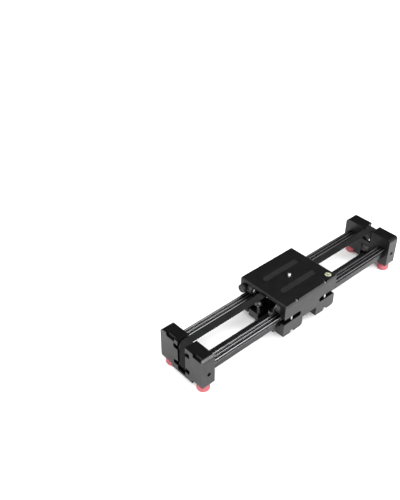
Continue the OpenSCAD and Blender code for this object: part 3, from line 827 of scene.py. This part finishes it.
def bubble_level():
    """Liquid with a bubble and one dark ring under a window with a rounded rim."""
    low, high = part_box("level_liquid")
    window_low, window_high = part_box("level_window")
    middle = centre("level_liquid")
    radius = extent("level_liquid").x / 2 / MM
    depth = (high.z - low.z) / MM
    base = Vector((middle.x, middle.y, low.z))
    spirit = lathe("level_spirit", base, ALONG_Z, rounded([
        (0, 0), (radius - EDGE_GAP, 0), (radius - EDGE_GAP, depth), (0, depth)], 0.2), 64)
    finish_piece(spirit, "camera_carriage", "level_liquid", ["level_liquid"])
    cap = (window_high.z - window_low.z) / MM
    window = lathe("level_lens", Vector((middle.x, middle.y, window_low.z + 0.02 * MM)), ALONG_Z, rounded([
        (0, 0), (radius - EDGE_GAP, 0), (radius - EDGE_GAP, cap - 0.4), (radius - 0.6, cap - 0.12),
        (radius * 0.5, cap - 0.04), (0, cap - 0.02)], 0.15), 64)
    finish_piece(window, "camera_carriage", "level_window", ["level_window"])
    ring_r, ring_width, ring_height = 2.7, 0.6, 0.13
    ring = lathe("level_ring", Vector((middle.x, middle.y, high.z - 0.12 * MM)), ALONG_Z, [
        (ring_r, 0), (ring_r + ring_width, 0), (ring_r + ring_width, ring_height), (ring_r, ring_height)], 64)
    finish_piece(ring, "camera_carriage", "level_liquid", material=MARKING)
    bubble_low = Vector((middle.x + 0.3 * MM, middle.y + 0.2 * MM, high.z - 0.62 * MM))
    air = lathe("level_bubble", bubble_low, ALONG_Z, rounded([
        (0, 0), (1.5, 0.12), (2.1, 0.4), (1.5, 0.64), (0, 0.66)], 0.4, 5), 48)
    finish_piece(air, "camera_carriage", "level_liquid", material=BUBBLE)


bubble_level()


# ---- Floor, light and camera ----

def floor():
    """A wide sheet of white paper under the feet."""
    mesh = bpy.data.meshes.new("floor")
    reach = 6.0
    mesh.from_pydata([(-reach, -reach, 0), (reach, -reach, 0), (reach, reach, 0), (-reach, reach, 0)], [],
                     [(0, 1, 2, 3)])
    plane = from_mesh("floor", mesh)
    material, shader = new_material("paper", (0.93, 0.93, 0.93), 0.9, specular=0.1)
    tree = material.node_tree
    tone = ramp(tree, noise(tree, 3.0, 2.0), (0.92, 0.92, 0.92), (0.94, 0.94, 0.94))
    tree.links.new(tone, shader.inputs["Base Color"])
    mesh.materials.append(material)


def area_light(name, direction, distance, size, power):
    """A sheet of light facing the target, its long side square to the rails."""
    data = bpy.data.lights.new(name, "AREA")
    data.shape = "RECTANGLE"
    data.size, data.size_y = size
    data.energy = power
    light = bpy.data.objects.new(name, data)
    bpy.context.scene.collection.objects.link(light)
    target = Vector((0, 0, 0.04))
    away = Vector(direction).normalized()
    long_side = away.cross(Vector(ALONG_X)).normalized()
    turn = Matrix((long_side.cross(away), long_side, away)).transposed()
    light.matrix_world = Matrix.Translation(target + away * distance) @ turn.to_4x4()


def soft_sun(name, direction, energy, angle):
    """A distant light from a direction, as wide as the angle in degrees."""
    data = bpy.data.lights.new(name, "SUN")
    data.energy = energy
    data.angle = math.radians(angle)
    light = bpy.data.objects.new(name, data)
    bpy.context.scene.collection.objects.link(light)
    light.rotation_euler = (-Vector(direction)).to_track_quat("-Z", "Y").to_euler()


def studio():
    """A dim room, wide soft lights on the camera's side and one sheet that lights the rails' edges."""
    world = bpy.data.worlds.new("studio")
    world.use_nodes = True
    background = world.node_tree.nodes["Background"]
    background.inputs["Color"].default_value = (1, 1, 1, 1)
    background.inputs["Strength"].default_value = 0.11
    bpy.context.scene.world = world
    soft_sun("overhead", (-0.25, -0.35, 1.0), energy=3.0, angle=80)
    soft_sun("front_fill", (-0.6, -0.7, 0.55), energy=2.0, angle=60)
    soft_sun("left_fill", (-1.0, 0.35, 0.7), energy=1.6, angle=60)
    area_light("softbox", (0.38, -0.6, 0.62), distance=2.4, size=(0.6, 3.6), power=88.0)
    bpy.context.scene.view_settings.view_transform = "Standard"
    bpy.context.scene.view_settings.look = "None"


def camera():
    """The view of the photograph: a 50 mm lens, from the left, the near side and above."""
    data = bpy.data.cameras.new("camera")
    data.lens = 50.0
    data.sensor_width = 36.0
    data.clip_start = 0.05
    data.clip_end = 60.0
    made = bpy.data.objects.new("camera", data)
    bpy.context.scene.collection.objects.link(made)
    made.location = (-0.7467, -0.6132, 0.8555)
    made.rotation_euler = tuple(math.radians(a) for a in (53.1156, 0.2031, -41.3947))
    bpy.context.scene.camera = made


floor()
studio()
camera()
